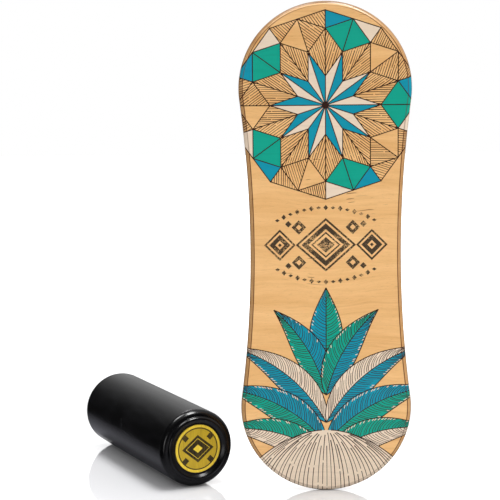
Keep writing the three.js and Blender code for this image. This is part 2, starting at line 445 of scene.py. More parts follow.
def deck_mesh():
    """The printed face from the cut plan, then the wall and the underside drawn down from its rim."""
    turns = [(pi / 2 - CREASE_TILT) * i / EDGE_STEPS for i in range(EDGE_STEPS + 1)]
    rings = [BULLNOSE * (1 - cos(turn)) for turn in turns]
    insets = (*rings, EDGE_WIDTH + CREASE_WIDTH, EDGE_WIDTH + CREASE_MARGIN)
    loops = [outline(inset) for inset in insets]
    plan, faces, inks = deck_print.cut(loops)
    used = sorted({i for face in faces for i in face})
    order = {old: new for new, old in enumerate(used)}
    faces = [[order[i] for i in face] for face in faces]
    rows = []
    for point in (plan[i] for i in used):
        inset, way = to_edge(*point)
        rows.append((point, way, inset, *edge_profile(inset)))
    sides = {(a, b) for face in faces for a, b in zip(face, face[1:] + face[:1])}
    following = {a: b for a, b in sides if (b, a) not in sides}
    rim = [min(following)]
    while following[rim[-1]] != rim[0]:
        rim.append(following[rim[-1]])
    below = [(inset, DECK_THICKNESS / 2 + BULLNOSE * sin(turn), pi / 2 + turn)
             for inset, turn in zip(rings[1:], turns[1:])]
    below.append((EDGE_WIDTH + CREASE_WIDTH, DECK_THICKNESS, pi))
    above = rim
    for inset, depth, tilt in below:
        ring = list(range(len(rows), len(rows) + len(rim)))
        for point, way, *_ in [rows[i] for i in rim]:
            rows.append((point - way * inset, way, inset, depth, tilt))
        faces += band(ring, above)
        above = ring
    faces.append(above[::-1])
    inks += ["bare"] * (len(faces) - len(inks))
    points = [(deck_middle.x + point.x * MM, deck_low.y + depth * MM, deck_middle.z + point.y * MM)
              for point, _, _, depth, _ in rows]
    mesh = printed_mesh("printed_deck", points, faces, inks)
    _, ways, insets, _, tilts = zip(*rows)
    turned = [sin(tilt) for tilt in tilts]
    surface = {"inset": insets, "turned": turned, "sideways": [abs(way.x) for way in ways]}
    for name, values in surface.items():
        mesh.attributes.new(name, "FLOAT", "POINT").data.foreach_set("value", values)
    mesh.shade_smooth()
    mesh.normals_split_custom_set_from_vertices(
        [(way.x * out, -cos(tilt), way.y * out) for way, out, tilt in zip(ways, turned, tilts)])
    return mesh


scene = bpy.context.scene


def placed(name, data):
    """A new object in the scene."""
    made = bpy.data.objects.new(name, data)
    scene.collection.objects.link(made)
    return made


def piece(name, mesh, material, body, slot, *nodes):
    """An object of the scene that stands for CAD nodes and rides on their body."""
    made = placed(name, mesh)
    mesh.materials.clear()
    mesh.materials.append(material)
    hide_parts(*nodes)
    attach(made, body)


class Wire:
    """An output of a node. Arithmetic on it adds Math nodes to its graph."""

    def __init__(self, graph, socket):
        self.graph, self.socket = graph, socket

    def math(self, operation, *values, clamp=False):
        settings = {"operation": operation, "use_clamp": clamp}
        return self.graph.node("ShaderNodeMath", settings, dict(enumerate((self, *values))))

    __add__ = __radd__ = partialmethod(math, "ADD")
    __sub__ = partialmethod(math, "SUBTRACT")
    __mul__ = __rmul__ = partialmethod(math, "MULTIPLY")
    __truediv__ = partialmethod(math, "DIVIDE")
    __gt__ = partialmethod(math, "GREATER_THAN")
    __lt__ = partialmethod(math, "LESS_THAN")

    def __rsub__(self, other):
        return (self * -1) + other

    def clamped(self):
        return self.math("ADD", 0.0, clamp=True)

    def above(self, start, gain):
        """0 up to a start, and past it a rise of so much a unit, up to 1."""
        return (self - start).math("MULTIPLY", gain, clamp=True)


class Graph:
    """A node tree under construction, of a material or of geometry nodes."""

    def __init__(self, tree):
        self.tree = tree
        tree.nodes.clear()

    def node(self, kind, settings=None, values=None, output=0):
        """Adds a node: its settings first, then the values or wires of its sockets. Returns one output."""
        made = self.tree.nodes.new(kind)
        for name, value in (settings or {}).items():
            setattr(made, name, value)
        for key, value in (values or {}).items():
            socket = self.find(made.inputs, key)
            if isinstance(value, Wire):
                self.tree.links.new(value.socket, socket)
            elif socket.type == "RGBA" and len(value) == 3:
                socket.default_value = (*value, 1)
            else:
                socket.default_value = value
        return Wire(self, self.find(made.outputs, output)) if made.outputs else made

    def find(self, sockets, key):
        if isinstance(key, int):
            return sockets[key]
        return next((s for s in sockets if s.identifier == key), None) or sockets[key]

    def mix(self, factor, low, high, blend="MIX"):
        values = {"Factor_Float": factor, "A_Color": low, "B_Color": high}
        return self.node("ShaderNodeMix", {"data_type": "RGBA", "blend_type": blend}, values, "Result_Color")

    def stained(self, colour, *stains):
        """A colour with stains laid over it, each given as its mask, its strength and its own colour."""
        for mask, strength, tone in stains:
            colour = self.mix(mask * strength, colour, tone)
        return colour

    def vector(self, operation, *values, output="Vector"):
        return self.node("ShaderNodeVectorMath", {"operation": operation}, dict(enumerate(values)), output)

    def along(self, place, way):
        """How far a place lies along a direction."""
        return self.vector("DOT_PRODUCT", place, way, output="Value")

    def gathered(self, *values):
        """A vector of up to three values."""
        return self.node("ShaderNodeCombineXYZ", None, dict(enumerate(values)))

    def noise(self, turns, detail=3.0, roughness=0.5, place=None):
        """Noise from 0 to 1, with so many turns of it to the metre along each axis."""
        stretched = self.vector("MULTIPLY", place or self.place, turns)
        values = {"Vector": stretched, "Scale": 1.0, "Detail": detail, "Roughness": roughness}
        return self.node("ShaderNodeTexNoise", None, values)

    def axis(self, place, output):
        return self.node("ShaderNodeSeparateXYZ", None, {0: place}, output)

    def stored(self, name, output="Fac"):
        """A value that the mesh carries at its points or corners."""
        return self.node("ShaderNodeAttribute", {"attribute_name": name}, None, output)

    def rays(self):
        """Whether a surface is seen in gloss, and whether by the camera itself."""
        return [self.node("ShaderNodeLightPath", output=kind) for kind in ("Is Glossy Ray", "Is Camera Ray")]

    def bump(self, height, strength, distance):
        values = {"Strength": strength, "Distance": distance, "Height": height}
        return self.node("ShaderNodeBump", None, values)

    def finish(self, values):
        """Closes a material with its one shader, and gives the material."""
        shader = self.node("ShaderNodeBsdfPrincipled", None, values)
        self.node("ShaderNodeOutputMaterial", None, {"Surface": shader})
        return self.material


def material_graph(name):
    """The graph of a new material, with the object's coordinates as its place."""
    material = bpy.data.materials.new(name)
    material.use_nodes = True
    graph = Graph(material.node_tree)
    graph.material = material
    graph.place = graph.node("ShaderNodeTexCoord", output="Object")
    return graph


PLIES = 11
PLY = DECK_THICKNESS / PLIES
GLUE = 0.1
WOOD_PALE = srgb(241, 194, 134)
WOOD_DEEP = srgb(222, 170, 108)
WOOD_STREAK = srgb(188, 130, 70)
WOOD_FLECK = srgb(112, 70, 36)
END_GRAIN = srgb(140, 92, 52)
GLUE_BROWN = srgb(84, 52, 32)
# Painted shade: the bullnose is darkened towards a greyed brown, more at the top and foot than at the sides.
EDGE_SHADE = srgb(112, 86, 64)
EDGE_SHADE_AT_ENDS = 0.7
EDGE_SHADE_AT_SIDES = 0.25
# Painted shade along the crease: a dark brown line, faint at the top and foot, full at the sides, and weaker
# under solid ink.
CREASE_SHADE = srgb(82, 32, 2)
CREASE_SHADE_AT_ENDS = 0.25
CREASE_SHADE_UNDER_INK = 0.55
CREASE_REACH = 1.17
CREASE_FADE = 0.9
CREASE_DEPTH = 2.0
WOOD_DRIFT = 0.03
INK_REACH = 0.94
INK_RAGGED = 0.06
STAMP_WEAR = 0.7
STAMP_STRENGTH = 0.95


def printed_birch():
    """Birch with its face grain across the deck, plies and end grain at its edge, painted shade on the
    bullnose and along the crease, and the inks over it.
    """
    g = material_graph("printed_birch")
    depth = (g.axis(g.place, "Y") - deck_low.y) / MM
    drift = (g.noise((7, 7, 12), 2) - 0.5) * WOOD_DRIFT
    grain = g.vector("ADD", g.place, g.gathered(0, 0, drift))
    figure = g.noise((4, 4, 44), 4, 0.6, place=grain)
    fibre = g.noise((30, 30, 700), 4, 0.65, place=grain)
    streak = g.noise((7, 7, 170), 5, 0.65, place=grain).above(0.53, 6)
    pore = g.noise((160, 900, 2600), 1, place=grain).above(0.66, 10)
    mineral = g.noise((9, 9, 14), 1, place=grain).above(0.54, 12) * (depth < PLY)
    fleck = g.noise((32, 32, 520), 0, place=grain).above(0.775, 30) * mineral
    wood = g.mix(figure.above(0.3, 2.4), WOOD_DEEP, WOOD_PALE)
    wood = g.stained(wood, (streak, 0.3, WOOD_STREAK), (fibre.above(0.42, 2.2), 0.28, WOOD_STREAK),
                     (pore, 0.35, WOOD_FLECK), (fleck, 0.8, WOOD_FLECK))

    ply = (depth - GLUE / 4) / PLY
    cross_ply = ply.math("FLOOR").math("MODULO", 2.0) * (ply > 1.0)
    glue = (ply.math("FRACT") < GLUE / PLY) * (ply > 0.5)
    turned, sideways, inset = (g.stored(name) for name in ("turned", "sideways", "inset"))
    cut = turned.above(0.2, 1.9)
    end_grain = cut * (cross_ply * (1 - sideways) + (1 - cross_ply) * sideways)
    speckle = g.noise((1300, 1300, 1300), 2)
    # Painted shade on the rounding, stronger at the ends than at the sides.
    edge_shade = EDGE_SHADE_AT_ENDS - sideways * (EDGE_SHADE_AT_ENDS - EDGE_SHADE_AT_SIDES)
    wood = g.mix((end_grain * (0.62 + speckle * 0.36)).clamped(), wood, END_GRAIN)
    wood = g.stained(wood, (cross_ply, 0.16, END_GRAIN), (glue, 0.85, GLUE_BROWN),
                     (turned.above(0.4, 3), edge_shade, EDGE_SHADE))

    paint, amount = (g.stored("ink", output) for output in ("Color", "Alpha"))
    patchy = g.noise((420, 420, 480), 4, 0.7)
    scuffed = g.noise((30, 30, 36), 2)
    worn = (patchy + scuffed * 0.5).above(0.8, 9)
    stamped = (amount > WORN / 2) * (amount < (WORN + FULL) / 2)
    solid = (amount > (WORN + FULL) / 2) * ((turned + speckle * INK_RAGGED) < INK_REACH)
    through = 1 - fibre * 0.12 - streak * 0.08
    inked = g.mix(1.0, paint, g.gathered(through, through, through), "MULTIPLY")
    covered = (solid + stamped * (1 - worn * STAMP_WEAR) * STAMP_STRENGTH).clamped()
    # Painted shade along the crease where the face meets the bullnose, strongest at the sides.
    from_crease = (inset - EDGE_WIDTH).math("ABSOLUTE")
    crease = ((CREASE_REACH - from_crease) / CREASE_FADE).clamped() * (depth < CREASE_DEPTH)
    crease_shade = CREASE_SHADE_AT_ENDS + sideways * (1 - CREASE_SHADE_AT_ENDS)
    bare = 1 - solid * (1 - CREASE_SHADE_UNDER_INK)
    colour = g.stained(g.mix(covered, wood, inked), (crease * crease_shade, bare, CREASE_SHADE))

    polish = g.noise((60, 60, 60), 3)
    height = fibre * 0.4 - pore * 0.8 + solid * 0.5
    return g.finish({
        "Base Color": colour, "Roughness": 0.42 + polish * 0.08 + fibre * 0.06, "Specular IOR Level": 0.15,
        "Coat Weight": 0.7 + cut * 0.3, "Coat Roughness": 0.16, "Coat IOR": 1.45,
        "Normal": g.bump(height, 0.25, 0.00008)})


piece("printed_deck", deck_mesh(), printed_birch(), "deck", "deck_wood", "deck")

# Stops: two beech bars glued and screwed across the underside, which keep the roller between them.
# Their long outer edges are rounded off, and four countersunk holes are drilled in each.

STOP_ROUND = 5
STOP_ROUND_STEPS = 8
STOP_EASE = 1.2
BORE_RADIUS = 2.4
SINK_RADIUS = 4.5
SINK_DEPTH = 3.4
SINK_SIDES = 40
STOP_SHARP = 28
BEECH_PALE = srgb(204, 156, 104)
BEECH_DEEP = srgb(176, 124, 74)
BEECH_RAY = srgb(140, 92, 50)
SCREWS = {stop: [f"{stop}_screw_{i}" for i in (1, 2, 3, 4)] for stop in ("nose_stop", "tail_stop")}


def beech():
    """Beech with its grain along the bar and the short dark rays that mark it."""
    g = material_graph("beech")
    figure = g.noise((6, 70, 70), 4, 0.55)
    fibre = g.noise((30, 1100, 1100), 3)
    ray = g.noise((260, 1500, 1500), 1).above(0.62, 9)
    wood = g.mix(figure.above(0.3, 2.2), BEECH_DEEP, BEECH_PALE)
    wood = g.mix(ray * 0.5 + fibre * 0.12, wood, BEECH_RAY)
    return g.finish({
        "Base Color": wood, "Roughness": 0.4 + figure * 0.14,
        "Normal": g.bump(fibre - ray * 0.6, 0.3, 0.0001)})


def screw_centre(node):
    low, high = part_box(node)
    return Vector(((low.x + high.x) / 2, high.y, (low.z + high.z) / 2))


def circle(radius, sides):
    return arc(0, 0, radius, 0, 2 * pi, sides)[:-1]


def turn_section(bm, section, sides, place):
    """Turns a section of (radius, height) pairs, in millimetres, about the Z axis of a place."""
    rings = []
    for radius, height in section:
        spots = circle(radius, sides) if radius else [(0, 0)]
        ring = [bm.verts.new(place @ (Vector((*spot, height)) * MM)) for spot in spots]
        rings.append(ring * (sides // len(ring)))
    for below, above in zip(rings, rings[1:]):
        for corners in band(below, above):
            bm.faces.new(dict.fromkeys(corners))


def closed_mesh(bm, name):
    """A plain mesh of a closed shape, with its faces outward."""
    bmesh.ops.recalc_face_normals(bm, faces=bm.faces)
    mesh = bpy.data.meshes.new(name)
    bm.to_mesh(mesh)
    bm.free()
    return mesh


def smoothed(mesh, sharp):
    """The mesh shaded smooth, but for the edges sharper than an angle in degrees."""
    mesh.shade_smooth()
    mesh.set_sharp_from_angle(angle=radians(sharp))
    return mesh


def outcome(made, name):
    """A plain mesh of what an object's modifiers make of it. The object itself goes."""
    bpy.context.view_layer.update()
    mesh = bpy.data.meshes.new_from_object(made.evaluated_get(bpy.context.evaluated_depsgraph_get()))
    mesh.name = name
    bpy.data.objects.remove(made)
    return mesh


def cut_away(mesh, cutter):
    """The mesh with a closed cutter taken out of it."""
    body, tool = placed("body", mesh), placed("tool", cutter)
    cut = body.modifiers.new("cut", "BOOLEAN")
    cut.operation, cut.solver, cut.object = "DIFFERENCE", "EXACT", tool
    result = outcome(body, mesh.name)
    bpy.data.objects.remove(tool)
    return result


def stop_mesh(stop):
    """The bar as a rounded section drawn out along X, with its countersinks cut from the free face."""
    low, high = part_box(stop)
    ease, rounding = STOP_EASE * MM, STOP_ROUND * MM
    corners = [(high.z, low.y), (low.z, low.y)]
    for z, start in ((low.z + rounding, pi), (high.z - rounding, pi / 2)):
        corners += arc(z, high.y - rounding, rounding, start, start - pi / 2, STOP_ROUND_STEPS)
    middle, half = (low + high) / 2, (high - low) / 2
    bar = bmesh.new()
    rings = []
    for x, inward in ((low.x, ease), (low.x + ease, 0), (high.x - ease, 0), (high.x, ease)):
        drawn = [(middle.y + (y - middle.y) * (1 - inward / half.y),
                  middle.z + (z - middle.z) * (1 - inward / half.z)) for z, y in corners]
        rings.append([bar.verts.new((x, *corner)) for corner in drawn])
    sides = [corners for one, other in zip(rings, rings[1:]) for corners in band(one, other)]
    for corners in (*sides, rings[0], rings[-1]):
        bar.faces.new(corners)
    holes = bmesh.new()
    bottom = (high.y - low.y) / MM + 1
    section = [(0, -1), (SINK_RADIUS, -1), (SINK_RADIUS, 1), (BORE_RADIUS, SINK_DEPTH), (BORE_RADIUS, bottom),
               (0, bottom)]
    for screw in SCREWS[stop]:
        centre = screw_centre(screw)
        place = Matrix.Translation((centre.x, high.y, centre.z)) @ Matrix.Rotation(pi / 2, 4, "X")
        turn_section(holes, section, SINK_SIDES, place)
    return smoothed(cut_away(closed_mesh(bar, stop), closed_mesh(holes, "countersinks")), STOP_SHARP)


stop_wood = beech()
for stop in SCREWS:
    piece(f"{stop}_bar", stop_mesh(stop), stop_wood, "deck", "stop_wood", stop)

# Screws: zinc-plated countersunk wood screws with a cross recess, driven from below through the stops.
# Four hold each bar, with their heads just under its face.

HEAD_RADIUS = 4.05
HEAD_EASE = 0.15
HEAD_RIM = 0.5
HEAD_HEIGHT = 3.0
PLAIN_SHANK = 6
SHANK_RADIUS = 2.0
CORE_RADIUS = 1.45
THREAD_START = 0.3
THREAD_PITCH = 1.8
THREAD_FOOT = 0.45
THREAD_CREST = 0.72
POINT_LENGTH = 6
SCREW_SIDES = 32
SCREW_SHARP = 28
RECESS_REACH = 2.3
RECESS_HALF_WIDTH = 0.475
RECESS_DEPTH = 1.9
RECESS_TAPER = 0.3
ZINC = srgb(222, 220, 212)
ZINC_TINT = srgb(204, 196, 172)


def zinc():
    """Zinc plate, faintly tinted, with marks left by the driver."""
    g = material_graph("zinc")
    cloud = g.noise((260, 260, 260), 3)
    scratch = g.noise((2400, 300, 900), 2)
    return g.finish({
        "Base Color": g.mix(cloud, ZINC, ZINC_TINT), "Metallic": 0.95,
        "Roughness": 0.26 + cloud * 0.16 + scratch * 0.1, "Normal": g.bump(scratch, 0.2, 0.00005)})


def screw_mesh(length):
    """One screw with its head's face at the origin and its point along +Z, in metres."""
    teeth = []
    top, last = HEAD_HEIGHT + PLAIN_SHANK, length - POINT_LENGTH
    for i in range(int((last - top) / THREAD_PITCH)):
        start = top + i * THREAD_PITCH
        teeth += [(CORE_RADIUS, start), (CORE_RADIUS, start + THREAD_PITCH * THREAD_FOOT),
                  (SHANK_RADIUS, start + THREAD_PITCH * THREAD_CREST)]
    section = [(0, 0), (HEAD_RADIUS - HEAD_EASE, 0), (HEAD_RADIUS, HEAD_EASE), (HEAD_RADIUS, HEAD_RIM),
               (SHANK_RADIUS, HEAD_HEIGHT), (SHANK_RADIUS, top - THREAD_START), *teeth, (CORE_RADIUS, last),
               (0, length)]
    screw, slots = bmesh.new(), bmesh.new()
    turn_section(screw, section, SCREW_SIDES, Matrix.Identity(4))
    half, arm = RECESS_HALF_WIDTH, RECESS_REACH
    cross = [Matrix.Rotation(pi / 2 * k, 2) @ Vector(corner)
             for k in range(4) for corner in ((arm, -half), (arm, half), (half, half))]
    mouth, bottom = (
        [slots.verts.new(Vector((*corner * share, height)) * MM) for corner in cross]
        for share, height in ((1 + RECESS_TAPER, -RECESS_DEPTH), (1 - RECESS_TAPER, RECESS_DEPTH)))
    for corners in (*band(mouth, bottom), mouth, bottom):
        slots.faces.new(corners)
    return smoothed(cut_away(closed_mesh(screw, "screw"), closed_mesh(slots, "recess")), SCREW_SHARP)


def geometry_tree(name, sockets):
    """The graph of a new geometry node tree with named inputs, and a wire from each of them."""
    tree = bpy.data.node_groups.new(name, "GeometryNodeTree")
    graph = Graph(tree)
    for label, kind in sockets.items():
        tree.interface.new_socket(label, in_out="INPUT", socket_type=f"NodeSocket{kind}")
    tree.interface.new_socket("Geometry", in_out="OUTPUT", socket_type="NodeSocketGeometry")
    source = tree.nodes.new("NodeGroupInput")
    return graph, {label: Wire(graph, source.outputs[label]) for label in sockets}


def close_tree(graph, geometry, material):
    real = graph.node("GeometryNodeRealizeInstances", None, {"Geometry": geometry})
    dressed = graph.node("GeometryNodeSetMaterial", None, {"Geometry": real, "Material": material})
    graph.node("NodeGroupOutput", None, {"Geometry": dressed})
    return graph.tree


def grown_mesh(name, tree, values):
    """The plain mesh that a geometry node tree makes from values for its named inputs."""
    carrier = placed("carrier", bpy.data.meshes.new("carrier"))
    modifier = carrier.modifiers.new("grow", "NODES")
    modifier.node_group = tree
    for item in tree.interface.items_tree:
        if item.in_out == "INPUT":
            modifier[item.identifier] = values[item.name]
    return outcome(carrier, name)


def screw_row_tree(material):
    """A row of screws along X for each of two bars."""
    g, wires = geometry_tree("screw_rows", {
        "Screw": "Object", "Count": "Int", "First": "Vector", "Step": "Vector", "Other Bar": "Vector"})
    row = g.node("GeometryNodeMeshLine", {"mode": "OFFSET"},
                 {"Count": wires["Count"], "Start Location": wires["First"], "Offset": wires["Step"]})
    other = g.node("GeometryNodeTransform", None, {"Geometry": row, "Translation": wires["Other Bar"]})
    rows = g.node("GeometryNodeJoinGeometry")
    for line in (row, other):
        g.tree.links.new(line.socket, rows.socket.node.inputs[0])
    one = g.node("GeometryNodeObjectInfo", None, {"Object": wires["Screw"]}, "Geometry")
    turn = g.node("FunctionNodeRandomValue", {"data_type": "FLOAT_VECTOR"},
                  {"Min": (pi / 2, 0, 0), "Max": (pi / 2, pi, 0), "Seed": 3})
    driven = g.node("GeometryNodeInstanceOnPoints", None,
                    {"Points": rows, "Instance": one, "Rotation": turn}, "Instances")
    return close_tree(g, driven, material)


nose_screws, tail_screws = SCREWS.values()
screw_low, screw_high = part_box(nose_screws[0])
pattern = placed("screw_pattern", screw_mesh((screw_high.y - screw_low.y) / MM))
first, second = (screw_centre(screw) for screw in nose_screws[:2])
plated = zinc()
screws = grown_mesh("stop_screws", screw_row_tree(plated), {
    "Screw": pattern, "Count": len(nose_screws), "First": first, "Step": second - first,
    "Other Bar": screw_centre(tail_screws[0]) - first})
bpy.data.objects.remove(pattern)
piece("stop_screws", screws, plated, "deck", "screw", *nose_screws, *tail_screws)

# Roller tube: a thick-walled black plastic pipe, drawn through a die and sawn to length.
# Its skin is satin, with faint lines left along it by the die and light scuffs from rolling.

UP = Vector((0, 0, 1))
spin = frame["joints"][0]
roller_axis = Vector(spin["axis"]).normalized()
roller_side = UP.cross(roller_axis)
roller_point = Vector(spin["pos_m"])
ROLLER_RADIUS = roller_point.z / MM
TUBE_WALL = 6
TUBE_EASE = 0.5
TUBE_EASE_STEPS = 3
TUBE_SIDES = 240
TUBE_SHARP = 35
TUBE_BLACK = srgb(6, 6, 7)
TUBE_SCUFF = srgb(42, 42, 45)


def facing(out, distance):
    """A place on the roller's axis whose Z looks out of one end and whose Y is up."""
    turn = Matrix(((-out).cross(UP), UP, out)).transposed().to_4x4()
    return Matrix.Translation(roller_point + out * distance) @ turn


def die_drawn_plastic():
    """Satin black plastic with soft smears and fine lines along the pipe, set by the roller's own axis."""
    g = material_graph("satin_black_plastic")
    local = g.vector("SUBTRACT", g.place, roller_point)
    along, aside = (g.along(local, way) for way in (roller_axis, roller_side))
    rise = g.axis(local, "Z")
    die_lines = g.noise((60, 3, 1), 4, place=g.gathered(rise.math("ARCTAN2", aside), along))
    smear = g.noise((90, 90, 22), place=g.gathered(aside, rise, along)).above(0.42, 2.6)
    haze = g.noise((14, 14, 14), 4)
    grain = g.noise((2200, 2200, 2200), 2)
    scuff = g.noise((90, 40, 60), 5, 0.7).above(0.63, 8)
    return g.finish({
        "Base Color": g.mix(scuff * 0.3 + smear * 0.24, TUBE_BLACK, TUBE_SCUFF),
        "Roughness": 0.12 + haze * 0.08 + scuff * 0.12 + die_lines * 0.04 + smear * 0.05,
        "Normal": g.bump(die_lines * 0.8 + grain * 0.25, 0.12, 0.0002)})


def tube_tree(material):
    """A pipe along Z: a long thin section with eased corners, carried round a circle."""
    g, wires = geometry_tree("pipe", {
        "Radius": "Float", "Wall": "Float", "Length": "Float", "Ease": "Float", "Sides": "Int"})
    centre_line = wires["Radius"] - wires["Wall"] / 2
    circle = g.node("GeometryNodeCurvePrimitiveCircle", None,
                    {"Resolution": wires["Sides"], "Radius": centre_line})
    section = g.node("GeometryNodeCurvePrimitiveQuadrilateral", None,
                     {"Width": wires["Wall"], "Height": wires["Length"]})
    eased = g.node("GeometryNodeFilletCurve", None,
                   {"Curve": section, "Radius": wires["Ease"], "Count": TUBE_EASE_STEPS,
                    "Limit Radius": True})
    pipe = g.node("GeometryNodeCurveToMesh", None, {"Curve": circle, "Profile Curve": eased})
    return close_tree(g, pipe, material)


satin = die_drawn_plastic()
tube_reach = [(v.co - roller_point).dot(roller_axis) for v in frame["nodes"]["roller_tube"].data.vertices]
tube_near, tube_far = min(tube_reach), max(tube_reach)
tube = grown_mesh("roller_pipe", tube_tree(satin), {
    "Radius": ROLLER_RADIUS * MM, "Wall": TUBE_WALL * MM, "Length": tube_far - tube_near,
    "Ease": TUBE_EASE * MM, "Sides": TUBE_SIDES})
tube.transform(facing(roller_axis, (tube_near + tube_far) / 2))
piece("roller_pipe", smoothed(tube, TUBE_SHARP), satin, "roller", "tube", "roller_tube")

# End caps: black plastic, moulded and polished, pushed into the pipe on a spigot.
# Each has a rounded shoulder, a groove, a raised ring and a shallow dish for the label.

SHOULDER_ROUND = 9
CAP_LIP = 1.5
CAP_EASE = 0.3
GROOVE_FLAT = 1.3
GROOVE_FILLET = 0.8
RING_ROUND = 3.5
RING_FOOT = radians(14)
DISH_DEPTH = 3.2
DISH_SLOPE = radians(35)
DISH_FILLET = 1.2
SEAM = 0.3
SPIGOT_LENGTH = 24
SPIGOT_WALL = 3
SPIGOT_EASE = 1
FILLET_STEPS = 5
CAP_SIDES = 200
CAP_SHARP = 40
CAP_BLACK = srgb(6, 6, 7)


def cap_section():
    """The cap's section, from the axis inside the spigot round to the middle of the dish, in millimetres."""
    quarter = pi / 2
    shoulder_top = CAP_LIP + SHOULDER_ROUND
    ring_top = shoulder_top + RING_ROUND
    floor = ring_top - DISH_DEPTH
    ring_centre = ROLLER_RADIUS - SHOULDER_ROUND - GROOVE_FLAT - RING_ROUND
    groove_centre = ring_centre + RING_ROUND + GROOVE_FILLET
    spigot = ROLLER_RADIUS - TUBE_WALL - SEAM
    slope_top = RING_ROUND * (1 - cos(DISH_SLOPE))
    slope_foot = (ring_centre - RING_ROUND * sin(DISH_SLOPE)
                  - (DISH_DEPTH - slope_top) / tan(DISH_SLOPE))
    flat_radius = slope_foot - DISH_FILLET * tan(DISH_SLOPE / 2)
    section = [(0, floor - SPIGOT_WALL), (spigot - SPIGOT_WALL, floor - SPIGOT_WALL),
               (spigot - SPIGOT_WALL, -SPIGOT_LENGTH), (spigot - SPIGOT_EASE, -SPIGOT_LENGTH),
               (spigot, SPIGOT_EASE - SPIGOT_LENGTH), (spigot, SEAM), (ROLLER_RADIUS - CAP_EASE, SEAM)]
    section += arc(ROLLER_RADIUS - CAP_EASE, SEAM + CAP_EASE, CAP_EASE, -quarter, 0, 2)[1:]
    section += arc(ROLLER_RADIUS - SHOULDER_ROUND, CAP_LIP, SHOULDER_ROUND, 0, quarter, 18)
    section += arc(groove_centre, shoulder_top + GROOVE_FILLET, GROOVE_FILLET, -quarter, -2 * quarter,
                   FILLET_STEPS)
    section += arc(ring_centre, shoulder_top, RING_ROUND, RING_FOOT, quarter + DISH_SLOPE, 16)
    section += arc(flat_radius, floor + DISH_FILLET, DISH_FILLET, DISH_SLOPE - quarter, -quarter,
                   FILLET_STEPS)
    return [*section, (0, floor)]


def moulded_plastic():
    """Polished black plastic, a little uneven as a moulding is, with fine scratches and a trace of dust."""
    g = material_graph("gloss_black_plastic")
    wave = g.noise((24, 24, 24), 2)
    scratch = g.noise((900, 260, 500), 4, 0.7).above(0.6, 6)
    dust = g.noise((1700, 1700, 1700), 1).above(0.74, 14)
    return g.finish({
        "Base Color": g.mix(dust * 0.3, CAP_BLACK, TUBE_SCUFF),
        "Roughness": 0.16 + wave * 0.05 + scratch * 0.06 + dust * 0.3, "Normal": g.bump(wave, 0.1, 0.0006)})


polished = moulded_plastic()
ENDS = {"near": (-roller_axis, -tube_near), "far": (roller_axis, tube_far)}
for end, (out, distance) in ENDS.items():
    cap = bmesh.new()
    turn_section(cap, cap_section(), CAP_SIDES, facing(out, distance))
    mesh = smoothed(closed_mesh(cap, f"{end}_cap"), CAP_SHARP)
    piece(f"{end}_cap", mesh, polished, "roller", "cap", f"{end}_end_cap")

# Labels: discs of brushed gold film, printed and stuck in the dish of each cap. The print is a dark edge, a
# bright band and a dark ring round the field, with one large nested lozenge and four small solid ones.

LABEL_RADIUS = 38.7
LABEL_RISE = 0.3
LABEL_THICKNESS = 0.4
LABEL_SIDES = 144
LABEL_RINGS = ((37.9, "band"), (33.8, "dark"), (31.9, "field"))
LABEL_LOZENGES = ((0, 0, 27, 22), (-21, 18, 6, 6), (21, 18, 6, 6), (-21, -18, 6, 6), (21, -18, 6, 6))
LABEL_STEPS = ((0, "dark"), (5.2, "band"), (6.2, "dark"), (15.4, "band"))
LABEL_SMALLEST = 0.2
INKS |= {
    "field": (*srgb(208, 175, 40), FULL),
    "band": (*srgb(255, 220, 66), FULL),
    "dark": (*srgb(26, 23, 16), FULL),
}
FILM_STREAK = srgb(140, 112, 24)

label_print = Print(seed=5)
for radius, ink in LABEL_RINGS:
    label_print.lay(circle(radius, LABEL_SIDES), ink)
for across, up, *halves in LABEL_LOZENGES:
    nest(label_print, Vector((across, up)), *halves, LABEL_STEPS, LABEL_SMALLEST)


def label_mesh(end, place):
    """The printed disc with its rim and back."""
    points, faces, inks = label_print.cut([circle(LABEL_RADIUS, LABEL_SIDES)])
    rim = [i for i, point in enumerate(points) if point.length > LABEL_RADIUS - SNAP]
    rim.sort(key=lambda i: atan2(points[i].y, points[i].x))
    back = list(range(len(points), len(points) + len(rim)))
    rows = [(*point, LABEL_THICKNESS) for point in points] + [(*points[i], 0) for i in rim]
    faces += [*band(back, rim), back[::-1]]
    inks += ["band"] * (len(rim) + 1)
    return printed_mesh(f"{end}_label", [place @ (Vector(row) * MM) for row in rows], faces, inks)


def gold_film():
    """Gold film brushed one way, with its print under a clear coat."""
    g = material_graph("gold_film")
    brushed = g.noise((900, 900, 40), 4, 0.6)
    blotch = g.noise((60, 60, 30), 3)
    shade = brushed.above(0.42, 2.4) * 0.55 + blotch.above(0.4, 2) * 0.3
    return g.finish({
        "Base Color": g.mix(shade, g.stored("ink", "Color"), FILM_STREAK), "Metallic": 0.25,
        "Roughness": 0.3 + brushed * 0.14, "Coat Weight": 0.4, "Coat Roughness": 0.08,
        "Normal": g.bump(brushed, 0.15, 0.00005)})


film = gold_film()
dish_floor = cap_section()[-1][1]
for end, (out, distance) in ENDS.items():
    place = facing(out, distance + (dish_floor + LABEL_RISE) * MM)
    piece(f"{end}_badge", label_mesh(end, place), film, "roller", "label", f"{end}_label")

# Studio: the photographer's set, which isn't part of the object. Its floor is a sheet of glossy white acrylic
# that whitens far out. One long softbox lights the object and another the deck's edge alone, and two light
# only the sheet, from overhead and from the back, so that what stands on it is mirrored in it.

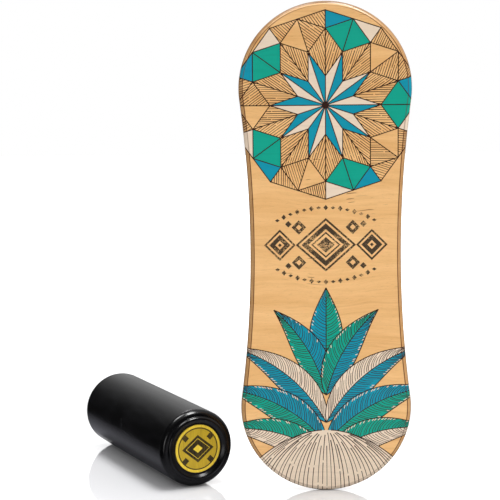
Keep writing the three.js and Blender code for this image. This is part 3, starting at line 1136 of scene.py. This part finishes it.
SHEET_CORNERS = [(-7, -2, 0), (7, -2, 0), (7, 7, 0), (-7, 7, 0)]
SHEET_WHITE = srgb(233, 233, 235)
SHEET_PAINTED_POOL = srgb(138, 138, 146)
SHEET_IN_GLOSS = srgb(4, 4, 5)
DIM_START = 0.06
DIM_FADE = 0.12
GLOW_START = 0.5
GLOW_FADE = 0.9
DOME = 0.8
SURROUND = 0.01
CEILING = 0.55
CEILING_RISE = 1.6
CEILING_DEPTH = 1.2
CEILING_FALL = 1.5
CEILING_LEFT = -0.75
CEILING_LEFT_GAIN = 1.7
CEILING_LEFT_FALL = 1.4
STAND_AZIMUTH = radians(20)
STAND_HALF_WIDTH = 0.09
STAND_TOP = 0.27
STAND_GLOW = 3.5
PANEL_WAY = (-0.30, -0.03, 0.953)
PANEL_SPREAD = 0.968
PANEL_GAIN = 60
PANEL_GLOW = 9.0
ACROSS = Vector((1, 0, 0))
BACK = Vector((0, 1, 0))
KEY_WAY = Vector((0.32, -0.25, 0.91)).normalized()
KEY_ALONG = Vector((-0.45, 0.80, 0.38))
KEY_DISTANCE = 14.0
KEY_SIZE = (9.8, 3.4)
KEY_POWER = 2100
TOP_PLACE = Vector((0.4, 0.2, 5.0))
TOP_SIZE = (2.0, 2.0)
TOP_POWER = 202
STRIP_PLACE = Vector((0, 7.0, 2.5))
STRIP_SIZE = (5.0, 1.8)
STRIP_POWER = 63
RIM_WAY = Vector((0, -0.62, 0.785)).normalized()
RIM_DISTANCE = 3.0
RIM_SIZE = (4.8, 1.2)
RIM_POWER = 100
CAMERA_ASIDE = 0.1155
CAMERA_BACK = 2.5947
CAMERA_HEIGHT = 0.710
CAMERA_PITCH = 0.1277
CAMERA_ROLL = 0.0086
CAMERA_LENS = 123.75


def glossy_acrylic():
    """White acrylic that mirrors what stands on it, glows white far out, and is dim in the object's gloss but
    for a painted pool of light along the roller.
    """
    g = material_graph("glossy_acrylic")
    cloud = g.noise((3, 3, 3), 2)
    # Painted light: in the object's gloss the sheet is a pale pool along the roller's line, fading to near
    # black away from it, which gives the tube its low sheen.
    away = (g.along(g.place, roller_side) - roller_point.dot(roller_side)).math("ABSOLUTE")
    painted_pool_in_gloss = g.mix(((away - DIM_START) / DIM_FADE).clamped(), SHEET_PAINTED_POOL, SHEET_IN_GLOSS)
    mirrored, seen = g.rays()
    far_out = g.vector("LENGTH", g.place, output="Value")
    glow = ((far_out - GLOW_START) / GLOW_FADE).clamped() * seen
    return g.finish({
        "Base Color": g.mix(mirrored, SHEET_WHITE, painted_pool_in_gloss), "Roughness": 0.05 + cloud * 0.02,
        "Emission Color": glow, "Emission Strength": 1.0})


def studio_world():
    """White to the camera, soft light from overhead, and in reflections a room pale behind and above."""
    world = bpy.data.worlds.new("studio")
    scene.world = world
    world.use_nodes = True
    g = Graph(world.node_tree)
    direction = g.node("ShaderNodeTexCoord", output="Generated")
    right, back, up = (g.axis(direction, way) for way in "XYZ")
    behind = ((back + up * CEILING_RISE) / CEILING_DEPTH).clamped().math("POWER", CEILING_FALL)
    pale = behind * right.above(CEILING_LEFT, CEILING_LEFT_GAIN).math("POWER", CEILING_LEFT_FALL)
    off_stand = (right * cos(STAND_AZIMUTH) - back * sin(STAND_AZIMUTH)).math("ABSOLUTE")
    stand = (off_stand < STAND_HALF_WIDTH) * (back < 0.0) * (up < STAND_TOP)
    panel = g.along(direction, PANEL_WAY).above(PANEL_SPREAD, PANEL_GAIN)
    mirrored, seen = g.rays()
    reflected = pale * CEILING + SURROUND + stand * STAND_GLOW + panel * PANEL_GLOW
    strength = seen + mirrored * reflected + (1 - seen) * (1 - mirrored) * (up > 0.0) * DOME
    background = g.node("ShaderNodeBackground", None, {"Color": (1, 1, 1, 1), "Strength": strength})
    g.node("ShaderNodeOutputWorld", None, {"Surface": background})


def softbox(name, place, facing_way, along, size, power, lit):
    """A softbox that faces back along a direction, its long side near another, and lights one collection."""
    light = bpy.data.lights.new(name, "AREA")
    light.shape, light.size, light.size_y, light.energy = "RECTANGLE", *size, power
    across = (along - facing_way * along.dot(facing_way)).normalized()
    made = placed(name, light)
    turn = Matrix((across, facing_way.cross(across), facing_way)).transposed().to_4x4()
    made.matrix_world = Matrix.Translation(place) @ turn
    made.visible_camera = False
    made.light_linking.receiver_collection = lit
    return made


floor_mesh = bpy.data.meshes.new("floor")
floor_mesh.from_pydata(SHEET_CORNERS, [], [range(4)])
floor_mesh.materials.append(glossy_acrylic())
floor = placed("floor", floor_mesh)
studio_world()
lit_parts, lit_sheet, lit_deck = map(bpy.data.collections.new, ("lit_parts", "lit_sheet", "lit_deck"))
for made in bpy.data.objects:
    if made.type == "MESH":
        (lit_sheet if made == floor else lit_parts).objects.link(made)
lit_deck.objects.link(bpy.data.objects["printed_deck"])
softbox("key", KEY_WAY * KEY_DISTANCE, KEY_WAY, KEY_ALONG, KEY_SIZE, KEY_POWER, lit_parts)
softbox("top", TOP_PLACE, UP, ACROSS, TOP_SIZE, TOP_POWER, lit_sheet)
softbox("strip", STRIP_PLACE, BACK, ACROSS, STRIP_SIZE, STRIP_POWER, lit_sheet)
deck_top = Vector((deck_middle.x, deck_low.y, deck_high.z))
rim = softbox("rim", deck_top + RIM_WAY * RIM_DISTANCE, RIM_WAY, ACROSS, RIM_SIZE, RIM_POWER, lit_deck)
rim.visible_diffuse = False

camera = placed("camera", bpy.data.cameras.new("camera"))
camera.data.lens = CAMERA_LENS
eye = Vector((deck_middle.x - CAMERA_ASIDE, deck_low.y - CAMERA_BACK, CAMERA_HEIGHT))
pitched = Matrix.Rotation(pi / 2 - CAMERA_PITCH, 4, "X")
camera.matrix_world = Matrix.Translation(eye) @ pitched @ Matrix.Rotation(-CAMERA_ROLL, 4, "Z")
scene.camera = camera
scene.view_settings.view_transform = "Standard"
